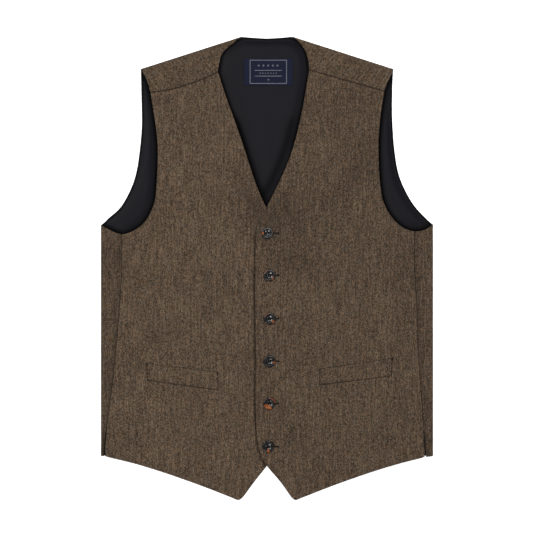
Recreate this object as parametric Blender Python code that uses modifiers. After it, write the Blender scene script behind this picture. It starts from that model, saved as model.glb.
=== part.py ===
"""A six-button suit waistcoat, laid flat on its back with the fronts facing up.

Metres. The origin is the middle of the outline, on the surface the waistcoat lies on.
+Y runs from the hem to the neck, +X to the wearer's left, +Z up out of the fronts.

The back is one cut piece: it folds over at the shoulders, to seams set forward on the chest,
and round both sides, to seams set forward on the fronts. The left front laps over the right.
"""

from collections import namedtuple
from math import cos, pi, sin

import bmesh
import bpy
from mathutils import Vector, geometry

# Thicknesses, and the gap kept between neighbouring pieces
GAP = 0.0003
BACK_THICK = 0.0015
LINING_THICK = 0.0010
FRONT_THICK = 0.0020
WELT_THICK = 0.0012
LABEL_THICK = 0.0010

# Heights of the layers, from the surface up
LINING_Z = BACK_THICK + GAP
FRONT_Z = LINING_Z + LINING_THICK + GAP
FRONT_TOP = FRONT_Z + FRONT_THICK
LABEL_Z = LINING_Z + LINING_THICK + GAP
WELT_Z = FRONT_TOP + GAP

# The folds: the back turns through half a circle, so that its two layers lie flat and level
HALF_WIDTH = 0.2490
NECK_POINT = Vector((0.0368, 0.3478))
SHOULDER_TIP = Vector((0.1899, 0.2986))
FOLD_RADIUS = (FRONT_TOP - BACK_THICK) / 2
FOLD_REACH = FOLD_RADIUS + BACK_THICK / 2
FOLD_FACETS = 8

# The overlap: the left front rides over the right one, and comes down beside it
LAP_RISE = FRONT_THICK + GAP
LAP_ACROSS = (0.0180, 0.0600)
LAP_TOP = (0.0920, 0.1650)
LAP_BOTTOM = (-0.2980, -0.3380)

HEM_Y = -0.2810
LINING_HEM_Y = -0.2760
LINING_INSET = 0.0008
VENT_TOP = -0.2476
VENT_OPENING = 0.0010
SECTION_PITCH = 0.0600
CURVE_PITCH = 0.0100

LABEL_CENTRE = (0.0017, 0.2940)
LABEL_SIZE = (0.0730, 0.0410)

BUTTON_RADIUS = 0.0090
BUTTON_HOLE_RADIUS = 0.0009
BUTTON_HOLE_SPACING = 0.0032
BUTTON_STEPS = 24

# Every edge below is measured from the centre line outwards, on the wearer's left and right
Edge = namedtuple("Edge", "left_x left_y right_x right_y")

# Neck edge of the turned-over shoulder, from the shoulder fold to the forward shoulder seam
YOKE_NECK = (
    Edge(0.0494, 0.3374, 0.0500, 0.3379),
    Edge(0.0572, 0.3257, 0.0625, 0.3274),
    Edge(0.0611, 0.3140, 0.0693, 0.3165),
    Edge(0.0630, 0.2975, 0.0735, 0.2942),
)

# Forward shoulder seam, from the neck to the armhole
SHOULDER_SEAM = (
    Edge(0.0630, 0.2975, 0.0735, 0.2942),
    Edge(0.1000, 0.2870, 0.1020, 0.2815),
    Edge(0.1400, 0.2757, 0.1430, 0.2685),
    Edge(0.1757, 0.2656, 0.1745, 0.2633),
)

# Armhole edge of the turned-over shoulder, from the forward seam to the fold
YOKE_ARMHOLE = (
    Edge(0.1757, 0.2656, 0.1745, 0.2633),
    Edge(0.1806, 0.2791, 0.1803, 0.2820),
    Edge(0.1868, 0.2912, 0.1862, 0.2934),
)

# V of the neck on the fronts, from the shoulder seam to the corner of the overlap
NECK_V = (
    Edge(0.0630, 0.2975, 0.0735, 0.2942),
    Edge(0.0561, 0.2550, 0.0607, 0.2550),
    Edge(0.0480, 0.2150, 0.0461, 0.2150),
    Edge(0.0372, 0.1750, 0.0326, 0.1750),
    Edge(0.0233, 0.1400, 0.0213, 0.1400),
    Edge(0.0086, 0.1100, 0.0101, 0.1100),
    Edge(-0.0060, 0.0815, -0.0040, 0.0815),
    Edge(-0.0142, 0.0685, -0.0142, 0.0685),
)

# Front edge, from the corner of the overlap down to the point; below zero is past the centre
FRONT_EDGE = (
    Edge(-0.0142, 0.0685, -0.0142, 0.0685),
    Edge(-0.0171, 0.0400, -0.0171, 0.0400),
    Edge(-0.0178, -0.0400, -0.0178, -0.0400),
    Edge(-0.0171, -0.1200, -0.0171, -0.1200),
    Edge(-0.0171, -0.1960, -0.0171, -0.1960),
    Edge(-0.0163, -0.2320, -0.0163, -0.2320),
    Edge(-0.0138, -0.2600, -0.0138, -0.2600),
    Edge(-0.0093, -0.2790, -0.0093, -0.2790),
    Edge(0.0006, -0.2966, 0.0008, -0.2966),
    Edge(0.0200, -0.3199, 0.0188, -0.3200),
    Edge(0.0375, -0.3443, 0.0372, -0.3443),
    Edge(0.0422, -0.3475, 0.0422, -0.3475),
)

# Hem of the front, from the point to the side seam
FRONT_HEM = (
    Edge(0.0422, -0.3475, 0.0422, -0.3475),
    Edge(0.0510, -0.3446, 0.0510, -0.3446),
    Edge(0.0850, -0.3312, 0.0850, -0.3312),
    Edge(0.1200, -0.3182, 0.1200, -0.3182),
    Edge(0.1600, -0.3044, 0.1600, -0.3044),
    Edge(0.2000, -0.2923, 0.2000, -0.2923),
    Edge(0.2384, -0.2829, 0.2446, -0.2817),
)

# Side seam, from the hem to the armhole
SIDE_SEAM = (
    Edge(0.2384, -0.2829, 0.2446, -0.2817),
    Edge(0.2356, -0.2476, 0.2420, -0.2476),
    Edge(0.2306, -0.1800, 0.2328, -0.1800),
    Edge(0.2268, -0.1200, 0.2265, -0.1200),
    Edge(0.2249, -0.0600, 0.2215, -0.0600),
    Edge(0.2212, 0.0000, 0.2178, 0.0000),
    Edge(0.2210, 0.0552, 0.2176, 0.0508),
)

# Armhole edge of the front, from the side seam to the forward shoulder seam
FRONT_ARMHOLE = (
    Edge(0.2210, 0.0552, 0.2176, 0.0508),
    Edge(0.2115, 0.0576, 0.2075, 0.0530),
    Edge(0.2014, 0.0626, 0.1937, 0.0601),
    Edge(0.1890, 0.0741, 0.1817, 0.0712),
    Edge(0.1782, 0.0905, 0.1728, 0.0875),
    Edge(0.1718, 0.1090, 0.1675, 0.1040),
    Edge(0.1682, 0.1393, 0.1648, 0.1350),
    Edge(0.1670, 0.1685, 0.1635, 0.1715),
    Edge(0.1673, 0.1975, 0.1646, 0.1950),
    Edge(0.1709, 0.2363, 0.1687, 0.2270),
    Edge(0.1757, 0.2656, 0.1745, 0.2633),
)

# Armhole edge of the strip that wraps round the side, from the side seam to the fold
WRAP_ARMHOLE = (
    Edge(0.2210, 0.0552, 0.2176, 0.0508),
    Edge(0.2290, 0.0556, 0.2260, 0.0532),
    Edge(0.2375, 0.0584, 0.2360, 0.0577),
)

# Armhole edge of the back's lower layer, from the side fold to the shoulder fold
BACK_ARMHOLE = (
    Edge(0.2464, 0.0675, 0.2464, 0.0667),
    Edge(0.2385, 0.0747, 0.2385, 0.0743),
    Edge(0.2215, 0.0930, 0.2200, 0.0912),
    Edge(0.2064, 0.1185, 0.2046, 0.1182),
    Edge(0.1967, 0.1440, 0.1960, 0.1440),
    Edge(0.1911, 0.1780, 0.1908, 0.1780),
    Edge(0.1884, 0.2130, 0.1878, 0.2130),
    Edge(0.1876, 0.2500, 0.1882, 0.2500),
)
BACK_ARMHOLE_AT_FOLD = Vector((0.1893, 0.2960))

# Back of the neck, from the centre to the shoulder fold
BACK_NECK = (
    Edge(0.0000, 0.3446, 0.0000, 0.3446),
    Edge(0.0190, 0.3456, 0.0190, 0.3456),
)

# Welts, round from the lower inner corner
Corner = namedtuple("Corner", "left_x left_y right_x right_y")
WELT = (
    Corner(0.0782, -0.1748, 0.0728, -0.1825),
    Corner(0.1868, -0.1614, 0.1797, -0.1676),
    Corner(0.1886, -0.1340, 0.1806, -0.1418),
    Corner(0.0782, -0.1502, 0.0730, -0.1550),
)

# Buttons, from the top down
ButtonPlace = namedtuple("ButtonPlace", "x y")
BUTTONS = (
    ButtonPlace(0.0006, 0.0526),
    ButtonPlace(0.0038, -0.0106),
    ButtonPlace(0.0038, -0.0754),
    ButtonPlace(0.0038, -0.1393),
    ButtonPlace(0.0038, -0.2023),
    ButtonPlace(0.0018, -0.2668),
)

# Turned profile of a button, from the middle of its dish, over the rim and under to the middle
ProfilePoint = namedtuple("ProfilePoint", "radius height")
BUTTON_PROFILE = (
    ProfilePoint(0.0000, 0.0019),
    ProfilePoint(0.0046, 0.0020),
    ProfilePoint(0.0060, 0.0031),
    ProfilePoint(0.0073, 0.0035),
    ProfilePoint(0.0086, 0.0030),
    ProfilePoint(BUTTON_RADIUS, 0.0020),
    ProfilePoint(0.0082, 0.0008),
    ProfilePoint(0.0055, 0.0000),
    ProfilePoint(0.0000, 0.0000),
)

# Finishes: colour, roughness and metallic value
Finish = namedtuple("Finish", "colour roughness metallic")
TWEED = Finish((0.100, 0.071, 0.048), 0.95, 0.0)
LINING = Finish((0.018, 0.017, 0.021), 0.55, 0.0)
LABEL = Finish((0.017, 0.021, 0.044), 0.70, 0.0)
HORN = Finish((0.020, 0.013, 0.010), 0.25, 0.0)


def clear_scene():
    for obj in list(bpy.data.objects):
        bpy.data.objects.remove(obj, do_unlink=True)


def new_collection(name):
    collection = bpy.data.collections.new(name)
    bpy.context.scene.collection.children.link(collection)
    return collection


def give_material(obj, finish):
    material = bpy.data.materials.new(f"{obj.name}_finish")
    material.use_nodes = True
    shader = material.node_tree.nodes["Principled BSDF"]
    shader.inputs["Base Color"].default_value = (*finish.colour, 1.0)
    shader.inputs["Roughness"].default_value = finish.roughness
    shader.inputs["Metallic"].default_value = finish.metallic
    obj.data.materials.append(material)


# Outlines


def side_points(table, side):
    """An edge's points on one side of the body, where side is 1 on the wearer's left."""
    if side > 0:
        return [Vector((row.left_x, row.left_y)) for row in table]
    return [Vector((-row.right_x, row.right_y)) for row in table]


def curve_through(points):
    """Points about CURVE_PITCH apart on a smooth curve through the given ones."""
    dense = [points[0]]
    for i in range(len(points) - 1):
        start, end = points[i], points[i + 1]
        before = points[max(i - 1, 0)]
        after = points[min(i + 2, len(points) - 1)]
        reach = (end - start).length / 3
        start_handle = start + (end - before).normalized() * reach
        end_handle = end - (after - start).normalized() * reach
        pieces = max(2, round((end - start).length / CURVE_PITCH))
        knots = [p.to_3d() for p in (start, start_handle, end_handle, end)]
        dense += [p.to_2d() for p in geometry.interpolate_bezier(*knots, pieces + 1)[1:]]
    return dense


def closed_outline(runs):
    """Joins edge runs that meet end to end, without their repeated corners."""
    outline = []
    for run in runs:
        outline += run[:-1]
    return outline


def inset(outline, distance):
    """The outline moved inwards; it runs anticlockwise."""
    moved = []
    for i, point in enumerate(outline):
        arriving = (point - outline[i - 1]).normalized()
        leaving = (outline[(i + 1) % len(outline)] - point).normalized()
        along = (arriving + leaving).normalized()
        inwards = Vector((-along.y, along.x))
        spread = max(inwards.dot(Vector((-leaving.y, leaving.x))), 0.5)
        moved.append(point + inwards * distance / spread)
    return moved


def anticlockwise(outline, side):
    return outline if side > 0 else outline[::-1]


# Folds: each is a line that the cloth turns over, with the direction that leads over it

Fold = namedtuple("Fold", "point outwards")


def folds(side):
    """The side fold and the shoulder fold of one side, where the cloth starts to turn."""
    along = (SHOULDER_TIP - NECK_POINT).normalized()
    outwards = Vector((-along.y, along.x))
    start = NECK_POINT - outwards * FOLD_REACH
    return (
        Fold(Vector((side * (HALF_WIDTH - FOLD_REACH), 0)), Vector((side, 0))),
        Fold(Vector((side * start.x, start.y)), Vector((side * outwards.x, outwards.y))),
    )


def opened_out(point, fold):
    """Where a point of the turned-over layer lies in the flat cut piece."""
    inside = (fold.point - point).dot(fold.outwards)
    return point + fold.outwards * (2 * inside + pi * FOLD_RADIUS)


def turned_over(point, fold):
    """Where a point of the flat cut piece lies once it is folded, as x, y and height."""
    past = (point - fold.point).dot(fold.outwards)
    if past <= 0:
        return point.to_3d()
    angle = min(past / FOLD_RADIUS, pi)
    beyond = max(past - pi * FOLD_RADIUS, 0)
    place = point + fold.outwards * (FOLD_RADIUS * sin(angle) - beyond - past)
    return Vector((place.x, place.y, FOLD_RADIUS * (1 - cos(angle))))


# Panels


def score(mesh, point, across):
    """Cuts a line through a flat panel, so that it can bend there."""
    everything = mesh.verts[:] + mesh.edges[:] + mesh.faces[:]
    bmesh.ops.bisect_plane(
        mesh, geom=everything, plane_co=point.to_3d(), plane_no=across.to_3d(), dist=1e-6
    )


def sections(low, high):
    """Section places at most SECTION_PITCH apart, between two limits."""
    count = int((high - low) / SECTION_PITCH) + 1
    return [low + (high - low) * i / count for i in range(1, count)]


def panel(name, collection, finish, outline, thickness, underside, bends=(), place=None):
    """A cloth panel cut from its outline, scored along its sections and bends, and put in place."""
    mesh = bmesh.new()
    mesh.faces.new([mesh.verts.new(p.to_3d()) for p in outline])
    xs, ys = [p.x for p in outline], [p.y for p in outline]
    for x in sections(min(xs), max(xs)):
        score(mesh, Vector((x, 0)), Vector((1, 0)))
    for y in sections(min(ys), max(ys)):
        score(mesh, Vector((0, y)), Vector((0, 1)))
    for point, across in bends:
        score(mesh, point, across)
    bmesh.ops.triangulate(mesh, faces=mesh.faces[:])
    for vert in mesh.verts:
        position = place(vert.co.to_2d()) if place else vert.co
        vert.co = position + Vector((0, 0, underside + thickness / 2))
    data = bpy.data.meshes.new(name)
    mesh.to_mesh(data)
    mesh.free()
    obj = bpy.data.objects.new(name, data)
    collection.objects.link(obj)
    wall = obj.modifiers.new("Wall", "SOLIDIFY")
    wall.thickness = thickness
    wall.offset = 0
    wall.use_even_offset = True
    give_material(obj, finish)
    return obj


def back_outline():
    """The back as it is cut: anticlockwise, with its shoulders and side strips opened out."""
    half = {}
    for side in (1, -1):
        side_fold, shoulder_fold = folds(side)
        seam = [opened_out(p, side_fold) for p in side_points(SIDE_SEAM, side)]
        wrap = [opened_out(p, side_fold) for p in side_points(WRAP_ARMHOLE, side)]
        tip = Vector((side * BACK_ARMHOLE_AT_FOLD.x, BACK_ARMHOLE_AT_FOLD.y))
        lower = side_points(BACK_ARMHOLE, side) + [tip]
        yoke = [opened_out(p, shoulder_fold) for p in side_points(YOKE_ARMHOLE, side)]
        shoulder = [opened_out(p, shoulder_fold) for p in side_points(SHOULDER_SEAM, side)]
        yoke_neck = [opened_out(p, shoulder_fold) for p in side_points(YOKE_NECK, side)]
        neck = yoke_neck[::-1] + side_points(BACK_NECK, side)[::-1]
        hem = [Vector((0, HEM_Y)), Vector((side_fold.point.x, HEM_Y)), seam[0]]
        half[side] = [
            hem,
            curve_through(seam),
            curve_through(wrap + lower + yoke[::-1]),
            curve_through(shoulder)[::-1],
            curve_through(neck),
        ]
    right = [run[::-1] for run in half[-1][::-1]]
    return closed_outline(half[1] + right)


def back_bends():
    """The lines where the back turns over, as facets of each half circle."""
    bends = []
    for side in (1, -1):
        for fold in folds(side):
            for facet in range(FOLD_FACETS + 1):
                past = pi * FOLD_RADIUS * facet / FOLD_FACETS
                bends.append((fold.point + fold.outwards * past, fold.outwards))
    return bends


def fold_back(point):
    """A point of the cut back, folded over at whichever fold it lies past."""
    side_fold, shoulder_fold = folds(1 if point.x > 0 else -1)
    if (point - shoulder_fold.point).dot(shoulder_fold.outwards) > 0:
        return turned_over(point, shoulder_fold)
    return turned_over(point, side_fold)


def lining_outline():
    """The lining of the back's lower layer: it stops short of every edge and fold."""
    half = {}
    for side in (1, -1):
        side_fold, shoulder_fold = folds(side)
        tip = Vector((side * BACK_ARMHOLE_AT_FOLD.x, BACK_ARMHOLE_AT_FOLD.y))
        armhole = curve_through(side_points(BACK_ARMHOLE, side) + [tip])
        neck_corner = shoulder_fold.point
        neck = curve_through([neck_corner] + side_points(BACK_NECK, side)[::-1])
        hem_corner = Vector((side_fold.point.x, LINING_HEM_Y))
        hem = [Vector((0, LINING_HEM_Y)), hem_corner, armhole[0]]
        half[side] = [hem, armhole, [tip, neck_corner], neck]
    right = [run[::-1] for run in half[-1][::-1]]
    return inset(closed_outline(half[1] + right), LINING_INSET)


def front_outline(side):
    """A front, anticlockwise from its shoulder; its seams stop a gap short of the back's."""
    shoulder = [p - Vector((0, GAP)) for p in side_points(SHOULDER_SEAM, side)]
    seam = [p - Vector((side * GAP, 0)) for p in side_points(SIDE_SEAM, side)]
    armhole = side_points(FRONT_ARMHOLE, side)
    hem = side_points(FRONT_HEM, side)
    neck_v = side_points(NECK_V, side)
    lower = curve_through(side_points(FRONT_EDGE, side)[:-1] + hem[:-1] + [seam[0]])
    side_run = curve_through(seam)
    for point in side_run:
        if point.y < VENT_TOP:
            point.x -= side * VENT_OPENING
    side_run[0].x = lower[-1].x = seam[0].x - side * VENT_OPENING
    runs = [
        curve_through([shoulder[0]] + neck_v[1:]),
        lower,
        side_run,
        curve_through([seam[-1]] + armhole[1:-1] + [shoulder[-1]]),
        curve_through(shoulder)[::-1],
    ]
    return anticlockwise(closed_outline(runs), side)


def ramp(value, start, end):
    """Rises smoothly from 0 at start to 1 at end."""
    t = min(max((value - start) / (end - start), 0), 1)
    return t * t * (3 - 2 * t)


def lap_height(point):
    """How far the left front is lifted by the right one beneath it."""
    across = 1 - ramp(point.x, *LAP_ACROSS)
    above = 1 - ramp(point.y, *LAP_TOP)
    below = 1 - ramp(point.y, *LAP_BOTTOM)
    return LAP_RISE * across * above * below


def lap_bends():
    """The lines where the left front bends as it comes down from the overlap."""
    bends = []
    for limits, steps, across in (
        (LAP_ACROSS, 7, Vector((1, 0))),
        (LAP_TOP, 6, Vector((0, 1))),
        (LAP_BOTTOM, 4, Vector((0, 1))),
    ):
        for i in range(steps + 1):
            place = limits[0] + (limits[1] - limits[0]) * i / steps
            bends.append((across * place, across))
    return bends


def lap_over(point):
    return Vector((point.x, point.y, lap_height(point)))


def welt_outline(side):
    return anticlockwise(side_points(WELT, side), side)


def label_outline():
    x, y = LABEL_CENTRE
    half_width, half_height = LABEL_SIZE[0] / 2, LABEL_SIZE[1] / 2
    signs = ((-1, -1), (1, -1), (1, 1), (-1, 1))
    return [Vector((x + sx * half_width, y + sy * half_height)) for sx, sy in signs]


# Buttons


def button_mesh(cutters):
    """The mesh that every button shares: a turned disc with four holes for its thread."""
    profile = bpy.data.meshes.new("button_profile")
    points = [(p.radius, 0, p.height) for p in BUTTON_PROFILE]
    edges = [(i, i + 1) for i in range(len(points) - 1)]
    profile.from_pydata(points, edges, [])
    disc = bpy.data.objects.new("button_profile", profile)
    cutters.objects.link(disc)
    disc.hide_render = True
    disc.display_type = "WIRE"
    turn = disc.modifiers.new("Turn", "SCREW")
    turn.steps = BUTTON_STEPS
    turn.render_steps = BUTTON_STEPS
    turn.use_merge_vertices = True
    turn.merge_threshold = 0.00001
    for i in range(4):
        angle = pi / 4 + i * pi / 2
        reach = BUTTON_HOLE_SPACING / 2 ** 0.5
        bpy.ops.mesh.primitive_cylinder_add(
            vertices=8,
            radius=BUTTON_HOLE_RADIUS,
            depth=0.012,
            location=(reach * cos(angle), reach * sin(angle), 0),
        )
        hole = bpy.context.object
        hole.name = f"thread_hole_{i + 1}"
        for collection in hole.users_collection:
            collection.objects.unlink(hole)
        cutters.objects.link(hole)
        hole.hide_render = True
        hole.display_type = "WIRE"
        cut = disc.modifiers.new(hole.name, "BOOLEAN")
        cut.operation = "DIFFERENCE"
        cut.solver = "EXACT"
        cut.object = hole
    bpy.context.view_layer.update()
    evaluated = disc.evaluated_get(bpy.context.evaluated_depsgraph_get())
    mesh = bpy.data.meshes.new_from_object(evaluated)
    mesh.shade_smooth()
    return mesh


def buttons(collection, cutters):
    shared = button_mesh(cutters)
    for i, place in enumerate(BUTTONS):
        button = bpy.data.objects.new(f"button_{i + 1}", shared.copy())
        height = FRONT_TOP + lap_height(Vector((place.x, place.y))) + GAP
        button.location = (place.x, place.y, height)
        collection.objects.link(button)
        give_material(button, HORN)


def build():
    clear_scene()
    waistcoat = new_collection("suit_waistcoat")
    cutters = new_collection("cutters")
    panel("back", waistcoat, TWEED, back_outline(), BACK_THICK, 0, back_bends(), fold_back)
    panel("back_lining", waistcoat, LINING, lining_outline(), LINING_THICK, LINING_Z)
    panel("label", waistcoat, LABEL, label_outline(), LABEL_THICK, LABEL_Z)
    panel("front_right", waistcoat, TWEED, front_outline(-1), FRONT_THICK, FRONT_Z)
    panel(
        "front_left", waistcoat, TWEED, front_outline(1), FRONT_THICK, FRONT_Z,
        lap_bends(), lap_over,
    )
    panel("welt_left", waistcoat, TWEED, welt_outline(1), WELT_THICK, WELT_Z)
    panel("welt_right", waistcoat, TWEED, welt_outline(-1), WELT_THICK, WELT_Z)
    buttons(waistcoat, cutters)


build()
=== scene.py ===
from collections import namedtuple
from math import atan2, cos, pi, radians, sin

import bmesh
import bpy
import numpy as np
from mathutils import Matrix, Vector, geometry


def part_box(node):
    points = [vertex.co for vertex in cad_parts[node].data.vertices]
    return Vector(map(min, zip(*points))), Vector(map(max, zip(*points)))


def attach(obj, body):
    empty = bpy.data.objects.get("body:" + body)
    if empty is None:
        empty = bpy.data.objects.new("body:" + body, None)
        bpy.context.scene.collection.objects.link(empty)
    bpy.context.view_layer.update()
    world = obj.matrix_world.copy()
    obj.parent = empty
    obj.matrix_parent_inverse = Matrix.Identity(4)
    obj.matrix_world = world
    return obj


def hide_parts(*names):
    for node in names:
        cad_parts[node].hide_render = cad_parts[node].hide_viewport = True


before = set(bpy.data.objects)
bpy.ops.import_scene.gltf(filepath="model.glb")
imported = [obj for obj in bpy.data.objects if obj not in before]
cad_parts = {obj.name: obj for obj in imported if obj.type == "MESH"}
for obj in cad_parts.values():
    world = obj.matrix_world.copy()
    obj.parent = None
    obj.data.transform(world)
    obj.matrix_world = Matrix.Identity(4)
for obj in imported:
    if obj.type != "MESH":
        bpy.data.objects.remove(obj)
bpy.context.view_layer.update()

# The waistcoat lies flat: +Y is up the body, +X the wearer's left, +Z out of the fronts.
# Every panel is a thin shell on its solid. Its outline is read from the solid's rim, opened out
# flat as the cloth was cut, cut up finely there, and then folded, lifted and creased.

MM = 0.001

# ---------------- sizes read from the frame


def layer(node):
    """How thick a solid that lies level is, and the height of its middle."""
    low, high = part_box(node)
    return high.z - low.z, (high.z + low.z) / 2


def centre_of(node):
    low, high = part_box(node)
    return (low + high) / 2


BACK_LOW, BACK_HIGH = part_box("back")
GAP = 0.3 * MM
HALF_WIDTH = (BACK_HIGH.x - BACK_LOW.x) / 2
BACK_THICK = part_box("back_lining")[0].z - GAP
LINING_THICK, LINING_MID = layer("back_lining")
FRONT_THICK, FRONT_MID = layer("front_right")
LAP_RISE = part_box("front_left")[1].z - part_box("front_right")[1].z
WELT_THICK, WELT_MID = layer("welt_left")
LABEL_THICK, LABEL_MID = layer("label")
LABEL_CENTRE = centre_of("label")

# The folds of the back, as in the solid: the shoulder line and the middle of each half circle
NECK_POINT = Vector((36.8, 347.8)) * MM
SHOULDER_TIP = Vector((189.9, 298.6)) * MM
SKIN_RADIUS = BACK_HIGH.z / 2
FOLD_RADIUS = SKIN_RADIUS - BACK_THICK / 2
SHOULDER_LEVEL = 200 * MM

# Where the left front comes down from the overlap: across, at the foot of the V and at the hem
LAP_ACROSS = (18 * MM, 60 * MM)
LAP_TOP = (92 * MM, 165 * MM)
LAP_BOTTOM = (-298 * MM, -338 * MM)
LAP_CORNER_Y = 68.5 * MM

# ---------------- fineness of the meshes

FRONT_GRID = 2.6 * MM
BACK_GRID = 3.4 * MM
LINING_GRID = 4.0 * MM
SMALL_GRID = 1.5 * MM
RIM_PITCH = 2.5 * MM
RIM_ANGLES = (0, 35, 65, 90)
EDGE_RINGS = (1.9 * MM, 2.8 * MM, 3.7 * MM, 5.2 * MM)
CORNER_TURN = radians(38)
WELD = 1e-6
CLOSEST = 0.7 * MM
BEND_STEPS = 8
BAND_REACH = 0.4


# ---------------- outlines


def skin_rim(node, lower=False):
    """The rim of a solid's upper skin, or of its lower one and what bends on from it, in order."""
    mesh = bmesh.new()
    mesh.from_mesh(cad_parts[node].data)
    bmesh.ops.remove_doubles(mesh, verts=mesh.verts[:], dist=WELD)
    mesh.normal_update()
    way = -1 if lower else 1
    flat = [f for f in mesh.faces if way * f.normal.z > 0.9]
    start = max(flat, key=lambda f: way * f.calc_center_median().z)
    skin, front = {start}, [start]
    while front:
        face = front.pop()
        for edge in face.edges:
            for other in edge.link_faces:
                if other not in skin and other.normal.angle(face.normal, 0) < radians(45):
                    skin.add(other)
                    front.append(other)
    after = {}
    for face in skin:
        for loop in face.loops:
            if sum(f in skin for f in loop.edge.link_faces) == 1:
                after[loop.vert] = loop.link_loop_next.vert
    first = vert = next(iter(after))
    rim = []
    while True:
        rim.append(vert.co.copy())
        vert = after[vert]
        if vert is first:
            break
    mesh.free()
    return rim


def signed_area(points):
    x, y = points[:, 0], points[:, 1]
    return float(np.sum(x * np.roll(y, -1) - np.roll(x, -1) * y) / 2)


def turn_at(points, i):
    arriving = points[i] - points[i - 1]
    leaving = points[(i + 1) % len(points)] - points[i]
    return arriving.angle_signed(leaving, 0)


def smooth_run(points):
    """Points RIM_PITCH apart on a smooth curve through a run from one corner to the next."""
    kept = [points[0]]
    for point in points[1:-1]:
        if (point - kept[-1]).length > 3 * MM and (point - points[-1]).length > 3 * MM:
            kept.append(point)
    kept.append(points[-1])
    dense = [kept[0]]
    for i in range(len(kept) - 1):
        start, end = kept[i], kept[i + 1]
        before, after = kept[max(i - 1, 0)], kept[min(i + 2, len(kept) - 1)]
        reach = (end - start).length / 3
        handles = (
            start + (end - before).normalized() * reach,
            end - (after - start).normalized() * reach,
        )
        pieces = max(1, round((end - start).length / RIM_PITCH))
        knots = [p.to_3d() for p in (start, *handles, end)]
        dense += [p.to_2d() for p in geometry.interpolate_bezier(*knots, pieces + 1)[1:]]
    return dense


Cut = namedtuple("Cut", "outline edges")


def smooth_cut(points, names):
    """An anticlockwise outline, smooth between its corners, and its named edges as runs of points.

    The names go anticlockwise from the highest corner, or the one further left on the body.
    """
    points = [p for i, p in enumerate(points) if (p - points[i - 1]).length > CLOSEST]
    if signed_area(np.array(points)) < 0:
        points = points[::-1]
    corners = [i for i in range(len(points)) if abs(turn_at(points, i)) > CORNER_TURN]
    first = max(range(len(corners)), key=lambda k: points[corners[k]].y + points[corners[k]].x / 12)
    corners = corners[first:] + [i + len(points) for i in corners[:first]]
    outline, edges = [], {}
    for name, start, end in zip(names.split(), corners, corners[1:] + [corners[0] + len(points)]):
        run = smooth_run([points[i % len(points)] for i in range(start, end + 1)])
        edges[name] = np.array([tuple(p) for p in run])
        outline += run[:-1]
    return Cut(np.array([tuple(p) for p in outline]), edges)


def cut_of(node, names):
    """The flat cut of a piece that lies level."""
    return smooth_cut([p.to_2d() for p in skin_rim(node)], names)


def inset(outline, distance):
    """The outline moved inwards."""
    arriving = outline - np.roll(outline, 1, 0)
    leaving = np.roll(outline, -1, 0) - outline
    arriving /= np.linalg.norm(arriving, axis=1)[:, None]
    leaving /= np.linalg.norm(leaving, axis=1)[:, None]
    along = arriving + leaving
    along /= np.linalg.norm(along, axis=1)[:, None]
    inwards = np.stack([-along[:, 1], along[:, 0]], 1)
    spread = np.maximum(np.sum(along * leaving, axis=1), 0.5)
    return outline + inwards * (distance / spread)[:, None]


def distance_to(points, line, closed=False):
    """How far each point is from a line of points."""
    ends = np.roll(line, -1, 0) if closed else line[1:]
    starts = line if closed else line[:-1]
    along = ends - starts
    square = np.maximum(np.sum(along**2, axis=1), 1e-18)
    found = []
    for chunk in np.array_split(points, max(1, len(points) // 2000)):
        offset = chunk[:, None] - starts[None]
        t = np.clip(np.sum(offset * along, axis=2) / square, 0, 1)
        found.append(np.linalg.norm(offset - t[..., None] * along, axis=2).min(1))
    return np.concatenate(found)


def inside(points, outline):
    """Which points the outline goes round."""
    x1, y1 = outline.T
    x2, y2 = np.roll(outline, -1, 0).T
    rise = np.where(y2 == y1, 1e-12, y2 - y1)
    found = []
    for chunk in np.array_split(points, max(1, len(points) // 2000)):
        x, y = chunk[:, :1], chunk[:, 1:]
        spans = (y1 > y) != (y2 > y)
        found.append(np.sum(spans & (x < x1 + (y - y1) * (x2 - x1) / rise), axis=1) % 2 == 1)
    return np.concatenate(found)


# ---------------- shells


Band = namedtuple("Band", "point outwards width")


def in_band(points, band, margin=0.0):
    """Which points lie in a band of the flat cut, on its side of the body."""
    past = (points - band.point) @ band.outwards
    near = (past > -margin) & (past < band.width + margin)
    return near & (points[:, 0] * band.point[0] > 0)


def along_bands(bands, grid):
    """Rows of points along each band, close enough across it to bend smoothly."""
    rows = []
    for band in bands:
        along = np.array((-band.outwards[1], band.outwards[0]))
        for k in range(BEND_STEPS + 1):
            reach = np.arange(-BAND_REACH + (k % 2) * grid / 2, BAND_REACH, grid)
            start = band.point + band.outwards * (band.width * k / BEND_STEPS)
            row = start + reach[:, None] * along
            rows.append(row[row[:, 0] * band.point[0] > 0])
    return np.concatenate(rows)


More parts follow.
